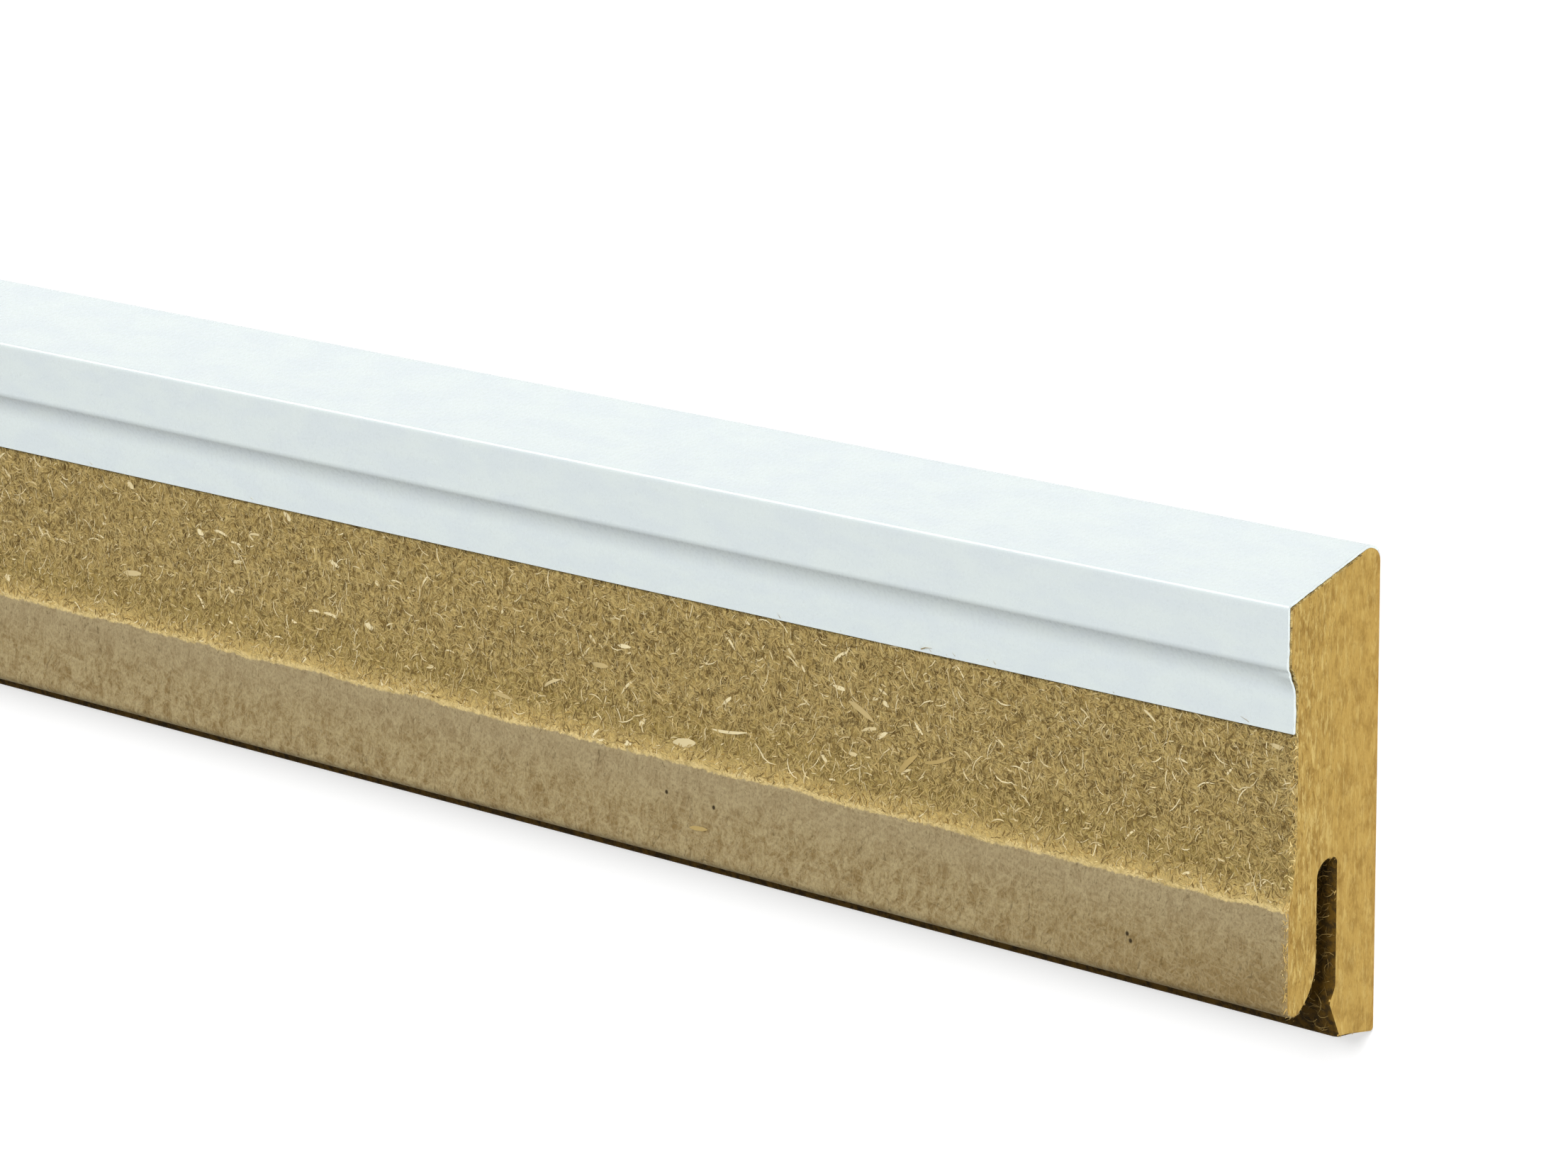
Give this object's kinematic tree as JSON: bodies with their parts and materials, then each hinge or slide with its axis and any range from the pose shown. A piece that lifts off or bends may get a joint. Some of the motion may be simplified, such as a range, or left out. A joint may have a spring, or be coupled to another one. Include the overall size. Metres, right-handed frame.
{
  "type": "foil-wrapped fibreboard skirting board with an insert recess and a clip groove",
  "caption": "White foil-wrapped fibreboard skirting board with a bevelled top, a lip over a bare milled recess for a strip of floor covering, and a clip groove at the foot.",
  "frame": {"origin": "middle of the back face, which the board lies on", "axes": "+X along the board, +Y towards the bevelled top edge, +Z out of the front face"},
  "size_m": [2.4, 0.06, 0.0154],
  "materials": {
    "fibreboard": "rough",
    "white_foil": "satin"
  },
  "bodies": {
    "root": {"core_board": "fibreboard", "foil_wrap": "white_foil"}
  },
  "joints": []
}
